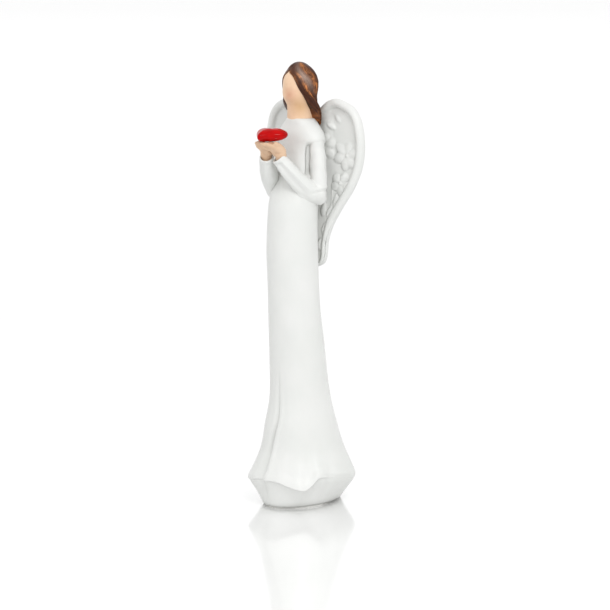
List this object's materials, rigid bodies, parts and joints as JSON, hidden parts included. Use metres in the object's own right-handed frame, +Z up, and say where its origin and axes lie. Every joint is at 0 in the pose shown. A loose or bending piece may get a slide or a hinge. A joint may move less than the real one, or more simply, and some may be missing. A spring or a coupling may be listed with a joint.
{
  "type": "resin angel figurine",
  "caption": "Slender robed angel figurine with folded wings, a plain face and a heart held in cupped hands, standing on an oval base.",
  "frame": {"origin": "middle of the felt pad's underside, on the surface that the figurine stands on", "axes": "+Z up along the figure; the figure looks along -Y; +X is the figure's own left"},
  "size_m": [0.0836, 0.0844, 0.3],
  "materials": {
    "ivory_resin": "off-white satin painted cast resin",
    "skin_paint": "satin skin-tone paint on cast resin, light blush",
    "hair_paint": "dark brown paint dry-brushed with copper, semi-gloss",
    "heart_enamel": "high-gloss red enamel on cast resin",
    "steel": "plain drawn wire",
    "felt": "thin pale felt"
  },
  "bodies": {
    "root": {"gown_body": "ivory_resin", "base_plug": "ivory_resin", "felt_pad": "felt", "head_and_neck": "skin_paint", "hair": "hair_paint", "left_sleeve": "ivory_resin", "right_sleeve": "ivory_resin", "left_hand": "skin_paint", "right_hand": "skin_paint", "heart": "heart_enamel", "left_wing": "ivory_resin", "right_wing": "ivory_resin", "left_wing_pin_upper": "steel", "left_wing_pin_lower": "steel", "left_shoulder_pin": "steel", "right_wing_pin_upper": "steel", "right_wing_pin_lower": "steel", "right_shoulder_pin": "steel"}
  },
  "joints": []
}
